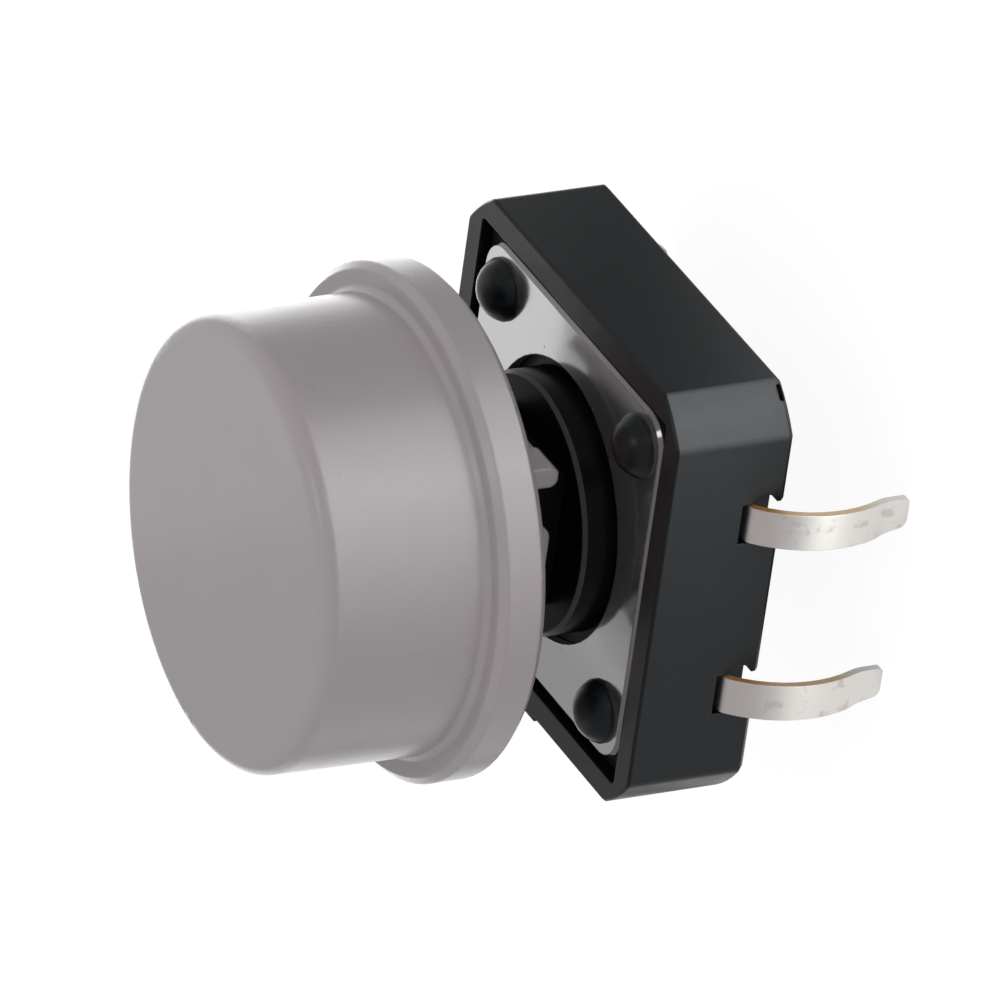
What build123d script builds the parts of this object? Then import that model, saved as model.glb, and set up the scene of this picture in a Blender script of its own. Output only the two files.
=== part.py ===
from build123d import *
from math import sqrt
import os

# Tactile push button switch, sizes in millimetres.
# Origin: middle of the housing's underside, on the board plane. +Z runs along the button's travel
# axis towards the cap, and the leads leave the two sides that face +X and -X.

# Housing
HOUSING_SIDE = 12.0
HOUSING_HEIGHT = 3.3
CORNER_CHAMFER = 1.1
CORNER_BULGE = 0.07
CORNER_SOFTENING = 0.3
RIM_WIDTH = 0.72
RIM_EDGE = 0.06
FOOT_CHAMFER = 0.14
POCKET_CORNER = 0.15

# Cover plate
COVER_THICKNESS = 0.3
COVER_SUNK = 0.08
COVER_GAP = 0.23
COVER_CORNER = 0.95
COVER_EDGE = 0.1

# Posts and their staked heads
POST_INSET = 1.14
POST_DIAMETER = 1.0
POST_HOLE_GAP = 0.05
HEAD_DIAMETER = 1.66
HEAD_EDGE = 0.08
HEAD_HEIGHT = 0.66

# Plunger
COLLAR_DIAMETER = 6.8
COLLAR_RISE = 0.78
COLLAR_EDGE = 0.1
STUB_SIDE = 3.8
STUB_LENGTH = 3.3
STUB_EDGE = 0.12
STUB_LEAD_IN = 0.3
COLLAR_GAP = 0.3
SHOULDER_OVERLAP = 0.4
SHOULDER_THICKNESS = 0.7
SHOULDER_PLAY = 0.03
NUB_DIAMETER = 1.6
CORE_WALL = 0.75
CORE_DEPTH = 1.1
KEY_WIDTH = 1.6
KEY_REACH = 0.45
KEY_GAP = 0.1

# Well under the plunger and the snap dome in it
WELL_GAP = 0.2
DOME_DIAMETER = 6.4
DOME_HEIGHT = 0.6
DOME_THICKNESS = 0.1
DOME_FOOT = 0.35
DOME_REST = 0.12
NUB_PLAY = 0.01
TRAVEL = 0.3

# Contact strips and leads
STRIP_THICKNESS = 0.2
STRIP_WIDTH = 1.0
STRIP_HEIGHT = 0.92
LEAD_PITCH = 5.0
LEAD_BEND = 0.2
LEAD_BOW_RADIUS = 3.1
LEAD_BOW_REACH = 0.82
LEAD_BOW_DROP = 1.2
LEAD_TURN_DROP = 2.35
LEAD_TURN_RADIUS = 1.0
LEAD_LENGTH = 3.2
LEAD_SHORTFALL = 0.3
LEAD_TAPER = 0.2
LEAD_TAPER_LENGTH = 0.9
LEAD_TIP_ROUND = 0.25
LEAD_CORNER_ROUND = 0.12
TONGUE_WIDTH = 1.1
BUTTON_DIAMETER = 1.2
BUTTON_TOP_DIAMETER = 0.8
CONTACT_GAP = 0.02
REST_SIDE = 0.7
REST_SLANT = 20
NOTCH_SIDE_GAP = 0.06
NOTCH_HEADROOM = 0.18
NOTCH_DEPTH = 0.8
RELIEF_RADIUS = 0.38
RELIEF_INSET = 0.08
RELIEF_HEIGHT = 0.6
SUPPORT_WINDOW = 0.7
SUPPORT_PITCH = 6.0

# Moulding marks on the housing
GATE_WIDTH = 0.8
GATE_STAND = 0.12
GATE_DEPTH = 0.5
GATE_OFFSET = 0.4
CHIP_LENGTH = 0.46
CHIP_WIDTH = 0.16
CHIP_DEPTH = 0.2
CHIP_HEIGHT = 0.15
CHIP_OFFSET = 0.38

# Cap
CAP_DIAMETER = 11.84
CAP_HEIGHT = 5.78
CAP_DRAFT = 1.0
CAP_EDGE = 0.5
CAP_WALL = 0.98
CAP_ROOF = 1.0
FLANGE_STAND = 0.71
FLANGE_THICKNESS = 1.3
FLANGE_EDGE = 0.2
FLANGE_ROOT = 0.15
SOCKET_WALL = 1.02
SOCKET_SINK = 1.82
SOCKET_FLOAT = 0.8
TONGUE_SLOT = 1.1
SPRING_WIDTH = 2.5
SPRING_ROUND = 0.45
CORNER_ROUND = 0.4
SLOT_HEIGHT = 2.4
RIB_THICKNESS = 0.6
RIB_SINK = 1.2

# Levels above the board
COVER_TOP = HOUSING_HEIGHT - COVER_SUNK
COVER_UNDERSIDE = COVER_TOP - COVER_THICKNESS
STRIP_TOP = STRIP_HEIGHT + STRIP_THICKNESS / 2
WELL_FLOOR = STRIP_TOP
DOME_SEAT = WELL_FLOOR + DOME_REST
DOME_TOP = DOME_SEAT + DOME_HEIGHT
SHOULDER_TOP = COVER_UNDERSIDE - SHOULDER_PLAY
SHOULDER_BOTTOM = SHOULDER_TOP - SHOULDER_THICKNESS
COLLAR_TOP = COVER_TOP + COLLAR_RISE
STUB_TOP = COLLAR_TOP + STUB_LENGTH
CAP_TONGUE_END = COLLAR_TOP + SOCKET_FLOAT
CAP_BACK = CAP_TONGUE_END + SOCKET_SINK
CAP_TOP = CAP_BACK + CAP_HEIGHT

# Plan sizes that follow from the ones above
POCKET_SIDE = HOUSING_SIDE - 2 * RIM_WIDTH
COVER_SIDE = POCKET_SIDE - 2 * COVER_GAP
POST_PITCH = COVER_SIDE - 2 * POST_INSET
COVER_HOLE = COLLAR_DIAMETER + 2 * COLLAR_GAP
SHOULDER_DIAMETER = COVER_HOLE + 2 * SHOULDER_OVERLAP
WELL_DIAMETER = SHOULDER_DIAMETER + 2 * WELL_GAP
SOCKET_SIDE = STUB_SIDE + 2 * SOCKET_WALL
LEAD_ROW = LEAD_PITCH / 2
NOTCH_WIDTH = STRIP_WIDTH + 2 * NOTCH_SIDE_GAP
NOTCH_BACK = HOUSING_SIDE / 2 - NOTCH_DEPTH
SINK = 0.5


def disc(diameter, low, high):
    """Upright cylinder on the axis between two levels."""
    return extrude(Plane.XY.offset(low) * Circle(diameter / 2), high - low)


def block(width, depth, low, high, corner=0):
    """Upright block on the axis between two levels, with rounded upright edges if a corner is given."""
    outline = RectangleRounded(width, depth, corner) if corner else Rectangle(width, depth)
    return extrude(Plane.XY.offset(low) * outline, high - low)


def post_places():
    return GridLocations(POST_PITCH, POST_PITCH, 2, 2)


def staked_post():
    """Post from the housing's floor up through the cover, with its domed head."""
    radius = HEAD_DIAMETER / 2
    rise = HEAD_HEIGHT - HEAD_EDGE
    dome_radius = (radius ** 2 + rise ** 2) / (2 * rise)
    dome = Pos(0, 0, COVER_TOP + HEAD_HEIGHT - dome_radius) * Sphere(dome_radius)
    head = dome & disc(HEAD_DIAMETER, COVER_TOP, COVER_TOP + HEAD_HEIGHT)
    return disc(POST_DIAMETER, 0, COVER_TOP) + head


def housing_outline():
    """Square with its corners cut off on a slight curve."""
    side = HOUSING_SIDE / 2
    near = side - CORNER_CHAMFER
    bulged = side - CORNER_CHAMFER / 2 + CORNER_BULGE / sqrt(2)
    quarter = [
        Line((side, -near), (side, near)).edge(),
        ThreePointArc((side, near), (bulged, bulged), (near, side)).edge(),
    ]
    turns = [Rot(0, 0, angle) for angle in (0, 90, 180, 270)]
    outline = make_face([turn * edge for turn in turns for edge in quarter])
    return fillet(outline.vertices(), CORNER_SOFTENING)


def lead_notch():
    """Opening at the foot of a side wall, where a lead comes out, with a round relief beside it."""
    top = STRIP_TOP + NOTCH_HEADROOM
    opening = Pos(0, (top - SINK) / 2) * Rectangle(NOTCH_WIDTH, top + SINK)
    opening += Pos(STRIP_WIDTH / 2 - RELIEF_INSET, RELIEF_HEIGHT) * Circle(RELIEF_RADIUS)
    return extrude(Plane.YZ.offset(NOTCH_BACK) * opening, NOTCH_DEPTH + SINK)


def gate_mark():
    """Trimmed stub left on one side wall where the moulding was filled."""
    side = -HOUSING_SIDE / 2
    low = HOUSING_HEIGHT - GATE_DEPTH
    stub = block(GATE_WIDTH, 2 * GATE_STAND, low, HOUSING_HEIGHT - RIM_EDGE)
    return Pos(GATE_OFFSET, side, 0) * stub


def chip():
    """Small knock across the foot of the corner between the +X and +Y sides."""
    middle = HOUSING_SIDE / 2 - CORNER_CHAMFER / 2
    corner_face = Plane((middle, middle, 0), x_dir=(-1, 1, 0), z_dir=(1, 1, 0))
    slit = corner_face * Pos(CHIP_OFFSET, CHIP_HEIGHT) * SlotOverall(CHIP_LENGTH, CHIP_WIDTH)
    return extrude(slit, CHIP_DEPTH, both=True)


def key_lugs(gap=0):
    """Pair of lugs that stop the plunger turning, or with a gap the grooves that they run in."""
    reach = SHOULDER_DIAMETER / 2 + KEY_REACH + gap
    return Rectangle(KEY_WIDTH + 2 * gap, 2 * reach)


def dome_rests():
    """Two moulded pads that carry the dome on the side away from the outer contact."""
    spread = (DOME_DIAMETER - DOME_FOOT) / 2
    pad = Pos(spread, 0, 0) * block(REST_SIDE, REST_SIDE, WELL_FLOOR - SINK, DOME_SEAT)
    return [Rot(0, 0, angle) * pad for angle in (-REST_SLANT, REST_SLANT - 180)]


def base():
    body = extrude(housing_outline(), HOUSING_HEIGHT)
    body = chamfer(body.faces().sort_by(Axis.Z)[-1].edges(), RIM_EDGE)
    body = chamfer(body.faces().sort_by(Axis.Z)[0].edges(), FOOT_CHAMFER)
    body += gate_mark()
    body -= block(POCKET_SIDE, POCKET_SIDE, COVER_UNDERSIDE, HOUSING_HEIGHT + SINK, POCKET_CORNER)
    body -= disc(WELL_DIAMETER, WELL_FLOOR, HOUSING_HEIGHT)
    groove_low = SHOULDER_BOTTOM - TRAVEL - KEY_GAP
    body -= extrude(Plane.XY.offset(groove_low) * key_lugs(KEY_GAP), HOUSING_HEIGHT - groove_low)
    body += dome_rests()
    body += [place * staked_post() for place in post_places()]
    body -= [Pos(0, row, 0) * lead_notch() for row in (-LEAD_ROW, LEAD_ROW)]
    body -= [Rot(0, 0, 180) * Pos(0, row, 0) * lead_notch() for row in (-LEAD_ROW, LEAD_ROW)]
    for place in GridLocations(SUPPORT_PITCH, LEAD_PITCH, 2, 2):
        body -= place * block(SUPPORT_WINDOW, SUPPORT_WINDOW, -SINK, STRIP_TOP - STRIP_THICKNESS)
    body -= chip()
    return body - outer_contact() - center_contact()


def cover_plate():
    plate = block(COVER_SIDE, COVER_SIDE, COVER_UNDERSIDE, COVER_TOP, COVER_CORNER)
    plate = chamfer(plate.faces().sort_by(Axis.Z)[-1].edges(), COVER_EDGE)
    plate -= disc(COVER_HOLE, COVER_UNDERSIDE - SINK, COVER_TOP + SINK)
    hole = disc(POST_DIAMETER + 2 * POST_HOLE_GAP, COVER_UNDERSIDE - SINK, COVER_TOP + SINK)
    return plate - [place * hole for place in post_places()]


def lead_path():
    """Middle line of a contact strip, from the middle of the housing out and down past a lead's tip.

    After the bend a lead bows outwards, then turns back until its tip hangs straight down.
    """
    bow_centre = Vector(HOUSING_SIDE / 2 + LEAD_BOW_REACH - LEAD_BOW_RADIUS, -LEAD_BOW_DROP)
    bend_z = STRIP_HEIGHT - LEAD_BEND
    apart = LEAD_BOW_RADIUS - LEAD_BEND
    bend_centre = Vector(bow_centre.X + sqrt(apart ** 2 - (bend_z - bow_centre.Y) ** 2), bend_z)
    outward = (bend_centre - bow_centre).normalized()
    bend_start = bend_centre + Vector(0, LEAD_BEND)
    bend_middle = bend_centre + (outward + Vector(0, 1)).normalized() * LEAD_BEND
    bend_end = bend_centre + outward * LEAD_BEND

    drop = LEAD_TURN_DROP - LEAD_BOW_DROP
    inward = Vector(sqrt(LEAD_BOW_RADIUS ** 2 - drop ** 2), -drop).normalized()
    turn_start = bow_centre + inward * LEAD_BOW_RADIUS
    turn_centre = turn_start + inward * LEAD_TURN_RADIUS
    turn_middle = turn_centre - (inward + Vector(1, 0)).normalized() * LEAD_TURN_RADIUS
    turn_end = turn_centre - Vector(LEAD_TURN_RADIUS, 0)

    run = Line((0, STRIP_HEIGHT), bend_start)
    bend = ThreePointArc(bend_start, bend_middle, bend_end)
    bow = ThreePointArc(bend_end, bow_centre + Vector(LEAD_BOW_RADIUS, 0), turn_start)
    turn = ThreePointArc(turn_start, turn_middle, turn_end)
    tip = Line(turn_end, (turn_end.X, -LEAD_LENGTH - SINK))
    return Wire([run.edge(), bend.edge(), bow.edge(), turn.edge(), tip.edge()])


def lead_blade(length):
    """A lead seen along X: full width, then tapered on one side to a tip with rounded corners."""
    half = STRIP_WIDTH / 2
    blade = Polygon((half, STRIP_TOP), (-half, STRIP_TOP), (-half, LEAD_TAPER_LENGTH - length),
                    (LEAD_TAPER - half, -length), (half, -length), align=None)
    straight, tapered = blade.vertices().group_by(Axis.Y)[0].sort_by(Axis.X)[::-1]
    blade = fillet(straight, LEAD_CORNER_ROUND)
    tapered = blade.vertices().sort_by_distance(tapered.center())[0]
    return fillet(tapered, LEAD_TIP_ROUND)


def half_strip(lead_length):
    """Half of a contact strip, out to its lead on the +X side."""
    half = extrude(Plane.XZ * trace(lead_path(), STRIP_THICKNESS), STRIP_WIDTH / 2, both=True)
    return half & extrude(Plane.YZ * lead_blade(lead_length), HOUSING_SIDE, both=True)


def contact_strip():
    """Flat strip across the housing with a bowed lead at each end, the one at -X cut shorter."""
    short = Rot(0, 0, 180) * half_strip(LEAD_LENGTH - LEAD_SHORTFALL)
    return half_strip(LEAD_LENGTH) + short


def outer_contact():
    """Strip with two raised pads that the dome's foot stands on."""
    strip = Pos(0, LEAD_ROW, 0) * contact_strip()
    spread = (DOME_DIAMETER - DOME_FOOT) / 2
    pad_x = sqrt(spread ** 2 - LEAD_ROW ** 2)
    pad = block(REST_SIDE, REST_SIDE, STRIP_TOP - STRIP_THICKNESS / 2, DOME_SEAT)
    return strip + [Pos(x, LEAD_ROW, 0) * pad for x in (-pad_x, pad_x)]


def center_contact():
    """Strip with a tongue to the middle, where a button waits under the dome."""
    strip = Pos(0, -LEAD_ROW, 0) * contact_strip()
    low = STRIP_TOP - STRIP_THICKNESS
    tongue = Pos(0, -LEAD_ROW / 2) * Rectangle(TONGUE_WIDTH, LEAD_ROW) + Circle(TONGUE_WIDTH / 2)
    pressed_underside = DOME_TOP - TRAVEL - NUB_PLAY - DOME_THICKNESS
    button_top = pressed_underside - CONTACT_GAP
    button = Cone(BUTTON_DIAMETER / 2, BUTTON_TOP_DIAMETER / 2, button_top - low)
    button = Pos(0, 0, (button_top + low) / 2) * button
    return strip + extrude(Plane.XY.offset(low) * tongue, STRIP_THICKNESS) + button


def snap_dome():
    """Shallow round spring: a flat foot ring, then an arched middle."""
    foot = DOME_DIAMETER / 2 - DOME_FOOT
    arch_rise = DOME_HEIGHT - DOME_THICKNESS
    arch = ThreePointArc((-foot, 0), (0, arch_rise), (foot, 0))
    arch_radius = (foot ** 2 + arch_rise ** 2) / (2 * arch_rise)
    outer = arch_radius + DOME_THICKNESS
    shell = Sphere(outer) - Sphere(arch_radius)
    shell = Pos(0, 0, DOME_SEAT + arch_rise - arch_radius) * shell
    above_seat = disc(4 * DOME_DIAMETER, DOME_SEAT, DOME_SEAT + outer)
    ring = disc(DOME_DIAMETER, DOME_SEAT, DOME_SEAT + DOME_THICKNESS)
    hollow = disc(2 * foot, DOME_SEAT - SINK, DOME_SEAT + SINK)
    return (shell & above_seat) + (ring - hollow)


def plunger():
    shoulder = disc(SHOULDER_DIAMETER, SHOULDER_BOTTOM, SHOULDER_TOP)
    shoulder += extrude(Plane.XY.offset(SHOULDER_BOTTOM) * key_lugs(), SHOULDER_THICKNESS)
    collar = disc(COLLAR_DIAMETER, SHOULDER_BOTTOM, COLLAR_TOP)
    collar = chamfer(collar.faces().sort_by(Axis.Z)[-1].edges(), COLLAR_EDGE)
    stub = block(STUB_SIDE, STUB_SIDE, COLLAR_TOP - SINK, STUB_TOP)
    stub = chamfer(stub.faces().sort_by(Axis.Z)[-1].edges(), STUB_LEAD_IN)
    stub = fillet(stub.edges().filter_by(Axis.Z), STUB_EDGE)
    core_low = SHOULDER_BOTTOM - SINK
    core_high = SHOULDER_BOTTOM + CORE_DEPTH
    core = disc(COLLAR_DIAMETER - 2 * CORE_WALL, core_low, core_high)
    core -= disc(NUB_DIAMETER + 2 * CORE_WALL, core_low, core_high)
    nub = disc(NUB_DIAMETER, DOME_TOP + NUB_PLAY, SHOULDER_TOP)
    return shoulder + collar + stub - core + nub


def cap_shell():
    """Turned form of the cap: flanged drum, narrower towards its face and hollow from the back."""
    drum = extrude(Plane.XY.offset(CAP_BACK) * Circle(CAP_DIAMETER / 2), CAP_HEIGHT, taper=CAP_DRAFT)
    drum = fillet(drum.faces().sort_by(Axis.Z)[-1].edges(), CAP_EDGE)
    flange = disc(CAP_DIAMETER + 2 * FLANGE_STAND, CAP_BACK, CAP_BACK + FLANGE_THICKNESS)
    flange = chamfer(flange.edges().filter_by(GeomType.CIRCLE), FLANGE_EDGE)
    shell = drum + flange
    rings = shell.edges().filter_by(GeomType.CIRCLE)
    root = rings.sort_by_distance(Vector(CAP_DIAMETER / 2, 0, CAP_BACK + FLANGE_THICKNESS))[0]
    shell = chamfer(root, FLANGE_ROOT)
    return shell - disc(CAP_DIAMETER - 2 * CAP_WALL, CAP_BACK - SINK, CAP_TOP - CAP_ROOF)


def socket_leg(width, middle, corner):
    """Outline of one leg of the socket seen along X, with its two lower corners rounded."""
    height = SLOT_HEIGHT + SINK
    leg = Pos(middle, CAP_TONGUE_END + height / 2) * Rectangle(width, height)
    return fillet(leg.vertices().group_by(Axis.Y)[0], corner)


def sprung_wall_outline():
    """Wall with slots up from its foot that leave a spring tongue between two corner posts."""
    low = CAP_TONGUE_END + SLOT_HEIGHT
    high = CAP_TOP - CAP_ROOF + SINK
    wall = Pos(0, (low + high) / 2) * Rectangle(SOCKET_SIDE, high - low)
    post_width = (SOCKET_SIDE - SPRING_WIDTH) / 2 - TONGUE_SLOT
    post_middle = (SOCKET_SIDE - post_width) / 2
    wall += socket_leg(SPRING_WIDTH, 0, SPRING_ROUND)
    for side in (-post_middle, post_middle):
        wall += socket_leg(post_width, side, post_width * CORNER_ROUND)
    return wall


def plain_wall_outline():
    """Section of a full-width wall of the socket seen along X."""
    high = CAP_TOP - CAP_ROOF + SINK
    middle = (STUB_SIDE + SOCKET_WALL) / 2
    wall = Pos(middle, (CAP_TONGUE_END + high) / 2) * Rectangle(SOCKET_WALL, high - CAP_TONGUE_END)
    return fillet(wall.vertices().group_by(Axis.Y)[0], SOCKET_WALL * CORNER_ROUND)


def cap_socket():
    """Square socket for the stub, with plain walls on two sides and spring tongues on the others."""
    sprung = extrude(Plane.YZ.offset(STUB_SIDE / 2) * sprung_wall_outline(), SOCKET_WALL)
    plain = extrude(Plane.YZ * plain_wall_outline(), STUB_SIDE / 2, both=True)
    half = sprung + plain
    return half + Rot(0, 0, 180) * half


def cross(length, low, high):
    bar = block(length, RIB_THICKNESS, low, high)
    return bar + Rot(0, 0, 90) * bar


def cap_ribs():
    """Stiffening ribs from socket to drum, and a cross inside the socket that the stub stops against."""
    high = CAP_TOP - CAP_ROOF + SINK
    inside = STUB_SIDE + SOCKET_WALL
    outer = cross(CAP_DIAMETER - CAP_WALL, CAP_BACK + RIB_SINK, high)
    return outer - block(inside, inside, CAP_BACK, high + SINK) + cross(inside, STUB_TOP, high)


def cap():
    return cap_shell() + cap_ribs() + cap_socket()


def main():
    os.makedirs("parts", exist_ok=True)
    export_step(base(), "parts/base.step")
    export_step(cover_plate(), "parts/cover_plate.step")
    export_step(outer_contact(), "parts/outer_contact.step")
    export_step(center_contact(), "parts/center_contact.step")
    export_step(snap_dome(), "parts/snap_dome.step")
    export_step(plunger(), "parts/plunger.step")
    export_step(cap(), "parts/cap.step")


main()
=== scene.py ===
import math

import bpy
from mathutils import Matrix, Vector


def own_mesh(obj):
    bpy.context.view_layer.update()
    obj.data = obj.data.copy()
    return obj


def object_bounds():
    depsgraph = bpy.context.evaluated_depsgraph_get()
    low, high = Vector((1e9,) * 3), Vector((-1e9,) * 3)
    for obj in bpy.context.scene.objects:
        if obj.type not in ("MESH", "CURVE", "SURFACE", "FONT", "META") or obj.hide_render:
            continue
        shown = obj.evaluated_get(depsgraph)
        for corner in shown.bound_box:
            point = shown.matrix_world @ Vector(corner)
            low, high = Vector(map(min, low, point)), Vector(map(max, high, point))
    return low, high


# Looks of the tactile push button switch. All places are in metres, in the model's own frame:
# +Z towards the cap, the circuit board plane at z = 0, leads on the +X and -X sides.
# Angles are in degrees, azimuth from +X towards +Y.

MM = 0.001

# Camera: direction from the object to the camera, its roll, and the width of the picture at the object
VIEW_AZIMUTH = 34.2
VIEW_ELEVATION = 25.51
VIEW_ROLL = -98.15
VIEW_WIDTH = 25.29 * MM
VIEW_TARGET = Vector((-1.58, -0.87, 3.764)) * MM
VIEW_DISTANCE = 400 * MM
SENSOR_WIDTH = 36.0
CLIP_NEAR = 10 * MM
CLIP_FAR = 10

# Floor and surround: what the eye sees is close to white, what lights the object is a little under it
FLOOR_SIZE = 4.0
FLOOR_ALBEDO = 0.6
FLOOR_TONE = 0.14
FLOOR_GLOW = 0.92
SKY_SEEN = 1.0
SKY_FILL = 0.97
SKY_GLOSS = 0.50

# Brightness that reflections find on the floor: dark under the housing, even near the leads, and
# further out by the direction from the object, as from reflectors and black flags beside it
SHADE_GLOSS = 0.03
SHADE_RADIUS = 6.0 * MM
NEAR_GLOSS = 0.82
NEAR_RADIUS = 8.5 * MM
OPEN_RADIUS = 12.0 * MM
FAR_RADIUS = 15.0 * MM
SIDE_STRETCH = 1.3
REFLECTORS = (  # azimuth, brightness
    (-180, 2.8), (-140, 2.2), (-101, 1.0), (-93, 0.2), (-83, 1.0), (-50, 0.9), (-25, 0.9),
    (-10, 1.6), (15, 3.4), (50, 6.2), (80, 3.0), (90, 0.7), (108, 0.25), (135, 0.3), (150, 0.7),
    (168, 2.4), (180, 2.8),
)

# Lamps: two soft boxes away from the object, and a card close to it that only reflections find
LAMP_DISTANCE = 0.5
LAMP_POWER = 0.12
KEY_SIZE = 0.11
SIDE_WIDTH = 0.10
SIDE_HEIGHT = 0.25
CARD_DISTANCE = 16 * MM
CARD_SHIFT = -17 * MM
CARD_WIDTH = 34 * MM
CARD_HEIGHT = 40 * MM
CARD_POWER = 0.0014

# Colours, linear
CAP_GREY = (0.368, 0.338, 0.350, 1)
CAP_WARM = (0.379, 0.335, 0.349, 1)
CAP_COOL = (0.358, 0.342, 0.352, 1)
BLACK_COOL = (0.0036, 0.0064, 0.0084, 1)
# Painted light: the housing's up-facing black, drawn lighter and warmer than its sides as light from
# above falls on it
BLACK_LIT_TOP = (0.0220, 0.0170, 0.0176, 1)
PLUNGER_SIDE = (0.0050, 0.0042, 0.0045, 1)
# Painted shade: the plunger's up-facing black, drawn darker than its sides under the cap
PLUNGER_SHADED_TOP = (0.0040, 0.0030, 0.0035, 1)
# Painted highlight: the plunger's sloped edges, lighter along the collar's rounded top edge
PLUNGER_EDGE_HIGHLIGHT = (0.060, 0.056, 0.058, 1)
PLATE_SILVER = (0.78, 0.77, 0.775, 1)
PLATE_DULL = (0.62, 0.61, 0.61, 1)
# Painted shade: the plate's sloped edges, dimming their reflection
PLATE_EDGE_SHADE = (0.26, 0.25, 0.255, 1)
TIN = (0.91, 0.885, 0.85, 1)
TIN_SMUDGE = (0.70, 0.65, 0.61, 1)
TIN_PINK = (0.87, 0.81, 0.79, 1)
BRASS_EDGE = (0.82, 0.62, 0.38, 1)
BRASS_DEEP = (0.52, 0.27, 0.09, 1)
SPRING_STEEL = (0.62, 0.61, 0.59, 1)

# Cap: sizes of its uneven tints and skin
CAP_IOR = 1.49
CAP_TINT_SIZE = 3.2 * MM
CAP_TINT_STEP = (0.42, 0.62)
CAP_CLOUD_SIZE = 1.4 * MM
CAP_SKIN_SIZE = 0.9 * MM
CAP_ROUGHNESS = (0.25, 0.32)
CAP_EDGE_RADIUS = 0.12 * MM

# Black mouldings: where a face counts as top or as slope by how far it looks up, for their painted light
# and shade, and their grain
BLACK_IOR = 1.45
BLACK_TOP_STEP = (0.3, 0.9)
BLACK_SLOPE_STEP = (0.35, 0.6)
BLACK_LEVEL_STEP = (0.9, 0.75)
BLACK_CLOUD_SIZE = 1.6 * MM
BLACK_CLOUD_SHARE = 0.25
BLACK_SKIN_SIZE = 0.5 * MM
BLACK_ROUGHNESS = (0.26, 0.40)
BLACK_GRAIN_SIZE = 0.09 * MM
BLACK_GRAIN_SHARPNESS = 0.65
BLACK_GRAIN_DEPTH = 0.0018 * MM
BLACK_EDGE_RADIUS = 0.05 * MM
HOUSING_GLOSS = 0.36
PLUNGER_GLOSS = 0.12

# Cover plate: rolling marks stretched along X, dull specks, painted shade that dims its reflection
# towards -Y, and painted shade on its sloped edges
PLATE_METALLIC = 0.94
ROLLING_STRETCH = (0.12, 1.6, 1)
ROLLING_SIZE = 0.12 * MM
SPECK_SIZE = 0.22 * MM
SPECK_STEP = (0.70, 0.76)
SPECK_ROUGHNESS = 0.2
PLATE_SHADE_SPAN = (-1.5 * MM, -4.0 * MM)
PLATE_SHADE_SHARE = 0.9
PLATE_LEVEL_STEP = (0.8, 0.97)
PLATE_ROUGHNESS = (0.09, 0.15)
PLATE_WAVE_SIZE = 1.4 * MM
PLATE_WAVE_DEPTH = 0.004 * MM
PLATE_EDGE_RADIUS = 0.05 * MM

# Contact strips: smudges, pink near the housing, and the heights over which the cut edge turns
# from tin at the tip through brass to dark at the exit
SMUDGE_SIZE = 0.34 * MM
SMUDGE_STEP = (0.56, 0.68)
SMUDGE_SHARE = 0.8
PINK_SPAN = (-0.6 * MM, 0.6 * MM)
SIDE_STEP = (0.6, 0.9)
DEEP_SPAN = (-0.4 * MM, 0.7 * MM)
TIP_SPAN = (-1.6 * MM, -2.6 * MM)
TIN_METALLIC = 1.0
BRASS_METALLIC = 0.25
TIN_SKIN_SIZE = 0.3 * MM
TIN_ROUGHNESS = (0.36, 0.50)
TIN_WAVE_SIZE = 0.25 * MM
TIN_WAVE_DEPTH = 0.003 * MM
TIN_EDGE_RADIUS = 0.02 * MM

# Snap dome
STEEL_TINT_SIZE = 0.4 * MM
STEEL_SKIN_SIZE = 0.2 * MM
STEEL_ROUGHNESS = (0.18, 0.30)


class Nodes:
    """Short calls to add nodes to a tree and join them."""

    def __init__(self, tree):
        self.tree = tree

    def join(self, value, socket):
        """Link a socket's value into another socket, or set it where the value is a plain one."""
        if isinstance(value, bpy.types.NodeSocket):
            self.tree.links.new(value, socket)
        else:
            socket.default_value = value

    def add(self, kind, settings=None, **sockets):
        """Add a node, with its settings and with sockets given by name."""
        made = self.tree.nodes.new(kind)
        for setting, value in (settings or {}).items():
            setattr(made, setting, value)
        for socket, value in sockets.items():
            self.join(value, made.inputs[socket.replace("_", " ")])
        return made

    def feed(self, kind, settings, *values):
        """Add a node whose sockets take values in their order, because they share a name."""
        made = self.add(kind, settings)
        for value, socket in zip(values, made.inputs):
            self.join(value, socket)
        return made

    def ramp(self, value, low, high, first=0, last=1):
        """Smooth step of a value, from first at low to last at high."""
        made = self.add(
            "ShaderNodeMapRange", {"interpolation_type": "SMOOTHSTEP"},
            Value=value, From_Min=low, From_Max=high, To_Min=first, To_Max=last,
        )
        return made.outputs["Result"]

    def scale(self, value, low, high):
        """A value from 0 to 1 stretched to run from low to high."""
        return self.add("ShaderNodeMapRange", Value=value, To_Min=low, To_Max=high).outputs["Result"]

    def math(self, operation, *values):
        return self.feed("ShaderNodeMath", {"operation": operation}, *values).outputs["Value"]

    def choose(self, share, first, second):
        """Number between first and second."""
        return self.add("ShaderNodeMix", Factor=share, A=first, B=second).outputs["Result"]

    def choose_shader(self, share, first, second):
        return self.feed("ShaderNodeMixShader", None, share, first, second).outputs["Shader"]

    def light_path(self):
        return self.add("ShaderNodeLightPath").outputs


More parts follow.
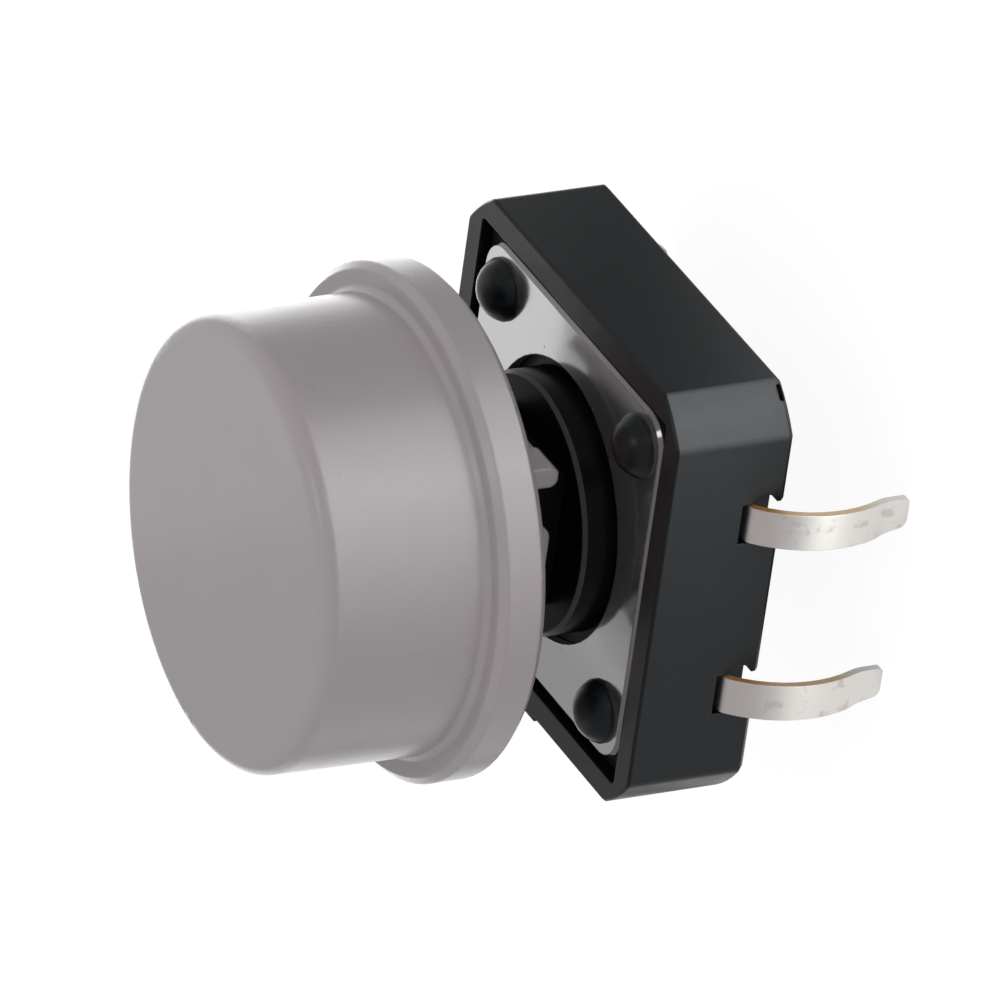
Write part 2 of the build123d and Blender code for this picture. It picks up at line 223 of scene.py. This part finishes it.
class Surface(Nodes):
    """A material with one Principled shader."""

    def __init__(self, name, **sockets):
        self.material = bpy.data.materials.new(name)
        self.material.use_nodes = True
        super().__init__(self.material.node_tree)
        self.shader = self.tree.nodes["Principled BSDF"]
        for socket, value in sockets.items():
            self.set(socket.replace("_", " "), value)
        self.place = self.add("ShaderNodeTexCoord").outputs["Object"]

    def set(self, socket, value):
        self.join(value, self.shader.inputs[socket])

    def noise(self, size, detail=2.0, roughness=0.5, place=None):
        """Noise with features of about the given size in metres."""
        made = self.add(
            "ShaderNodeTexNoise",
            Vector=place or self.place, Scale=1 / size, Detail=detail, Roughness=roughness,
        )
        return made.outputs["Fac"]

    def mix(self, share, first, second):
        """Colour mix. The colour sockets of the node come after its number and vector ones."""
        made = self.add("ShaderNodeMix", {"data_type": "RGBA"}, Factor=share)
        self.join(first, made.inputs[6])
        self.join(second, made.inputs[7])
        return made.outputs[2]

    def facing(self, axis):
        """How far the surface faces along an axis of the part, from -1 to 1."""
        normal = self.add("ShaderNodeTexCoord").outputs["Normal"]
        return self.add("ShaderNodeSeparateXYZ", Vector=normal).outputs[axis]

    def along(self, axis):
        """Place along an axis of the part, in metres."""
        return self.add("ShaderNodeSeparateXYZ", Vector=self.place).outputs[axis]

    def soften(self, radius):
        """Edges that look rounded to a small radius."""
        rounded = self.add("ShaderNodeBevel", {"samples": 6}, Radius=radius).outputs["Normal"]
        self.set("Normal", rounded)
        return rounded

    def bump(self, height, depth, radius):
        """Bump in metres from a height of 0 to 1, over edges softened to a small radius."""
        made = self.add(
            "ShaderNodeBump", Height=height, Distance=depth, Strength=1.0, Normal=self.soften(radius)
        )
        self.set("Normal", made.outputs["Normal"])


def cap_plastic():
    """Grey moulded plastic with a fine satin skin and faint uneven tint."""
    look = Surface("cap_plastic", IOR=CAP_IOR)
    tint = look.mix(look.ramp(look.noise(CAP_TINT_SIZE), *CAP_TINT_STEP), CAP_COOL, CAP_WARM)
    look.set("Base Color", look.mix(look.noise(CAP_CLOUD_SIZE, 1), CAP_GREY, tint))
    look.set("Roughness", look.scale(look.noise(CAP_SKIN_SIZE, 1), *CAP_ROUGHNESS))
    look.soften(CAP_EDGE_RADIUS)
    return look.material


def black_plastic(name, side, top, edge, gloss):
    """Black moulded plastic with painted light and shade: one colour for its sides, one for what faces
    the cap and one for sloped edges.
    """
    look = Surface(name, IOR=BLACK_IOR, Specular_IOR_Level=gloss)
    upward = look.facing("Z")
    cloud = look.scale(look.noise(BLACK_CLOUD_SIZE, 3), -BLACK_CLOUD_SHARE, BLACK_CLOUD_SHARE)
    share = look.math("ADD", look.ramp(upward, *BLACK_TOP_STEP), cloud)
    rising = look.ramp(upward, *BLACK_SLOPE_STEP)
    short_of_level = look.ramp(upward, *BLACK_LEVEL_STEP)
    slope = look.math("MULTIPLY", rising, short_of_level)
    # Painted light and shade: sides, up-facing faces and sloped edges each get a lit or shaded copy of
    # the black
    look.set("Base Color", look.mix(slope, look.mix(share, side, top), edge))
    look.set("Roughness", look.scale(look.noise(BLACK_SKIN_SIZE, 4), *BLACK_ROUGHNESS))
    grain = look.noise(BLACK_GRAIN_SIZE, 4, BLACK_GRAIN_SHARPNESS)
    look.bump(grain, BLACK_GRAIN_DEPTH, BLACK_EDGE_RADIUS)
    return look.material


def plated_cover():
    """Smooth plated sheet, close to a mirror, with faint rolling marks, dull specks, and painted shade
    towards -Y and on its sloped edges.
    """
    look = Surface("plated_cover", Metallic=PLATE_METALLIC)
    stretched = look.add("ShaderNodeMapping", Vector=look.place, Scale=ROLLING_STRETCH).outputs["Vector"]
    rolling = look.scale(look.noise(ROLLING_SIZE, 3, place=stretched), *PLATE_ROUGHNESS)
    specks = look.ramp(look.noise(SPECK_SIZE), *SPECK_STEP)
    # Painted shade: the plate drawn duller towards -Y, for the darker reflection it shows there
    painted_shade = look.math("MULTIPLY", look.ramp(look.along("Y"), *PLATE_SHADE_SPAN), PLATE_SHADE_SHARE)
    silver = look.mix(painted_shade, PLATE_SILVER, PLATE_DULL)
    # Painted shade: sloped edges of the plate drawn darker than its flat face
    level = look.ramp(look.facing("Z"), *PLATE_LEVEL_STEP)
    look.set("Base Color", look.mix(level, PLATE_EDGE_SHADE, look.mix(specks, silver, PLATE_DULL)))
    look.set("Roughness", look.math("ADD", rolling, look.math("MULTIPLY", specks, SPECK_ROUGHNESS)))
    look.bump(look.noise(PLATE_WAVE_SIZE), PLATE_WAVE_DEPTH, PLATE_EDGE_RADIUS)
    return look.material


def tinned_strip():
    """Tin-plated contact strip: pale satin faces with smudges, and brass showing at the cut edges."""
    look = Surface("tinned_strip")
    smudge = look.math("MULTIPLY", look.ramp(look.noise(SMUDGE_SIZE, 4), *SMUDGE_STEP), SMUDGE_SHARE)
    face = look.mix(smudge, TIN, TIN_SMUDGE)
    face = look.mix(look.ramp(look.along("Z"), *PINK_SPAN), face, TIN_PINK)
    brass = look.mix(look.ramp(look.along("Z"), *DEEP_SPAN), BRASS_EDGE, BRASS_DEEP)
    brass = look.mix(look.ramp(look.along("Z"), *TIP_SPAN), brass, TIN)
    sideways = look.ramp(look.math("ABSOLUTE", look.facing("Y")), *SIDE_STEP)
    look.set("Base Color", look.mix(sideways, face, brass))
    look.set("Metallic", look.scale(sideways, TIN_METALLIC, BRASS_METALLIC))
    look.set("Roughness", look.scale(look.noise(TIN_SKIN_SIZE, 4), *TIN_ROUGHNESS))
    look.bump(look.noise(TIN_WAVE_SIZE, 3), TIN_WAVE_DEPTH, TIN_EDGE_RADIUS)
    return look.material


def spring_steel():
    """Bright spring sheet with a slightly uneven polish."""
    look = Surface("spring_steel", Metallic=1.0)
    look.set("Base Color", look.mix(look.noise(STEEL_TINT_SIZE, 3), SPRING_STEEL, PLATE_DULL))
    look.set("Roughness", look.scale(look.noise(STEEL_SKIN_SIZE, 3), *STEEL_ROUGHNESS))
    return look.material


def paint(node, material):
    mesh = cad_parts[node].data
    mesh.materials.clear()
    mesh.materials.append(material)


def grey(level):
    return (level, level, level, 1)


def reflected_floor(nodes):
    """Emission that stands for the floor, the reflectors and the flags in the object's reflections."""
    place = nodes.add("ShaderNodeNewGeometry").outputs["Position"]
    split = nodes.add("ShaderNodeSeparateXYZ", Vector=place).outputs
    turn = nodes.math("ARCTAN2", split["Y"], split["X"])
    share = nodes.add("ShaderNodeMapRange", Value=turn, From_Min=-math.pi, From_Max=math.pi)
    around = nodes.add("ShaderNodeValToRGB", Fac=share.outputs["Result"])
    stops = around.color_ramp.elements
    while len(stops) < len(REFLECTORS):
        stops.new(0.5)
    for stop, (azimuth, level) in zip(stops, REFLECTORS):
        stop.position = azimuth / 360 + 0.5
        stop.color = grey(level)

    stretched = nodes.feed("ShaderNodeVectorMath", {"operation": "MULTIPLY"}, place, (1, SIDE_STRETCH, 1))
    length = nodes.feed("ShaderNodeVectorMath", {"operation": "LENGTH"}, stretched.outputs["Vector"])
    radius = length.outputs["Value"]
    near = nodes.ramp(radius, SHADE_RADIUS, NEAR_RADIUS, SHADE_GLOSS, NEAR_GLOSS)
    outward = nodes.ramp(radius, OPEN_RADIUS, FAR_RADIUS)
    level = nodes.choose(outward, near, around.outputs["Color"])
    return nodes.add("ShaderNodeEmission", Strength=level).outputs["Emission"]


def floor_material():
    """Pale floor that the eye sees close to white, with a faint shadow, and reflections see as lit."""
    material = bpy.data.materials.new("floor")
    material.use_nodes = True
    nodes = Nodes(material.node_tree)
    nodes.tree.nodes.clear()
    path = nodes.light_path()
    lit = nodes.add("ShaderNodeBsdfDiffuse", Color=grey(FLOOR_ALBEDO)).outputs["BSDF"]
    tone = nodes.add("ShaderNodeBsdfDiffuse", Color=grey(FLOOR_TONE)).outputs["BSDF"]
    glow = nodes.add("ShaderNodeEmission", Strength=FLOOR_GLOW).outputs["Emission"]
    seen = nodes.feed("ShaderNodeAddShader", None, tone, glow).outputs["Shader"]
    eye = nodes.choose_shader(path["Is Camera Ray"], lit, seen)
    whole = nodes.choose_shader(path["Is Glossy Ray"], eye, reflected_floor(nodes))
    nodes.add("ShaderNodeOutputMaterial", Surface=whole)
    return material


def add_floor(low):
    bpy.ops.mesh.primitive_plane_add(size=FLOOR_SIZE, location=(0, 0, low))
    floor = bpy.context.object
    floor.name = "floor"
    floor.data.materials.append(floor_material())


def add_sky():
    """Even white surround: white to the camera, softer as fill light and in reflections."""
    world = bpy.data.worlds.new("surround")
    bpy.context.scene.world = world
    world.use_nodes = True
    nodes = Nodes(world.node_tree)
    nodes.tree.nodes.clear()
    path = nodes.light_path()
    unseen = nodes.choose(path["Is Glossy Ray"], SKY_FILL, SKY_GLOSS)
    strength = nodes.choose(path["Is Camera Ray"], unseen, SKY_SEEN)
    background = nodes.add("ShaderNodeBackground", Strength=strength).outputs["Background"]
    nodes.add("ShaderNodeOutputWorld", Surface=background)


def from_angles(azimuth, elevation):
    """Unit vector in a direction given by two angles."""
    azimuth = math.radians(azimuth)
    elevation = math.radians(elevation)
    flat = math.cos(elevation)
    return Vector((flat * math.cos(azimuth), flat * math.sin(azimuth), math.sin(elevation)))


def add_softbox(name, azimuth, elevation, distance, width, height, power, shift=0, gloss_only=False):
    """Area lamp in a direction from the object, facing it, or shifted sideways from there."""
    lamp = bpy.data.lights.new(name, "AREA")
    lamp.shape = "RECTANGLE"
    lamp.size = width
    lamp.size_y = height
    lamp.energy = power
    box = bpy.data.objects.new(name, lamp)
    box.visible_camera = False
    box.visible_diffuse = not gloss_only
    bpy.context.scene.collection.objects.link(box)
    direction = from_angles(azimuth, elevation)
    sideways = Vector((0, 0, 1)).cross(direction).normalized()
    box.location = VIEW_TARGET + direction * distance + sideways * shift
    box.rotation_euler = direction.to_track_quat("Z", "Y").to_euler()


def add_camera():
    """Camera at the photo's angle, turned about its own axis by the roll."""
    toward = from_angles(VIEW_AZIMUTH, VIEW_ELEVATION)
    level = Vector((0, 0, 1)).cross(toward).normalized()
    upright = toward.cross(level)
    roll = math.radians(VIEW_ROLL)
    right = level * math.cos(roll) + upright * math.sin(roll)
    up = toward.cross(right)
    turn = Matrix((right, up, toward)).transposed()
    data = bpy.data.cameras.new("camera")
    data.sensor_width = SENSOR_WIDTH
    data.lens = SENSOR_WIDTH * VIEW_DISTANCE / VIEW_WIDTH
    data.clip_start = CLIP_NEAR
    data.clip_end = CLIP_FAR
    camera = bpy.data.objects.new("camera", data)
    bpy.context.scene.collection.objects.link(camera)
    camera.matrix_world = Matrix.Translation(VIEW_TARGET + toward * VIEW_DISTANCE) @ turn.to_4x4()
    bpy.context.scene.camera = camera


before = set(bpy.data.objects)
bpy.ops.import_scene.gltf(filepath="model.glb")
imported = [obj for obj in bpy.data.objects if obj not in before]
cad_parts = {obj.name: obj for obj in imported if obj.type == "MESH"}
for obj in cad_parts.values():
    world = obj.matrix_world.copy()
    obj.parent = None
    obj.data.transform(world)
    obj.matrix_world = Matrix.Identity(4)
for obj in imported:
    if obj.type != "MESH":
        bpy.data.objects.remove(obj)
cad_box = [list(corner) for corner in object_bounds()]
bpy.context.scene.view_settings.view_transform = "Standard"

# Housing tops painted lighter than its sides; plunger top painted darker, with a painted highlight on its
# collar edge
paint("base", black_plastic("housing_plastic", BLACK_COOL, BLACK_LIT_TOP, BLACK_COOL, HOUSING_GLOSS))
paint("plunger", black_plastic("plunger_plastic", PLUNGER_SIDE, PLUNGER_SHADED_TOP, PLUNGER_EDGE_HIGHLIGHT, PLUNGER_GLOSS))
paint("cap", cap_plastic())
paint("cover_plate", plated_cover())
tin = tinned_strip()
paint("outer_contact", tin)
paint("center_contact", tin)
paint("snap_dome", spring_steel())
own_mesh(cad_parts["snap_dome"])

add_floor(cad_box[0][2])
add_sky()
add_softbox(
    "key", azimuth=62, elevation=64, distance=LAMP_DISTANCE,
    width=KEY_SIZE, height=KEY_SIZE, power=LAMP_POWER,
)
add_softbox(
    "side", azimuth=48, elevation=10, distance=LAMP_DISTANCE,
    width=SIDE_WIDTH, height=SIDE_HEIGHT, power=LAMP_POWER,
)
add_softbox(
    "card", azimuth=214, elevation=25, distance=CARD_DISTANCE, shift=CARD_SHIFT,
    width=CARD_WIDTH, height=CARD_HEIGHT, power=CARD_POWER, gloss_only=True,
)
add_camera()
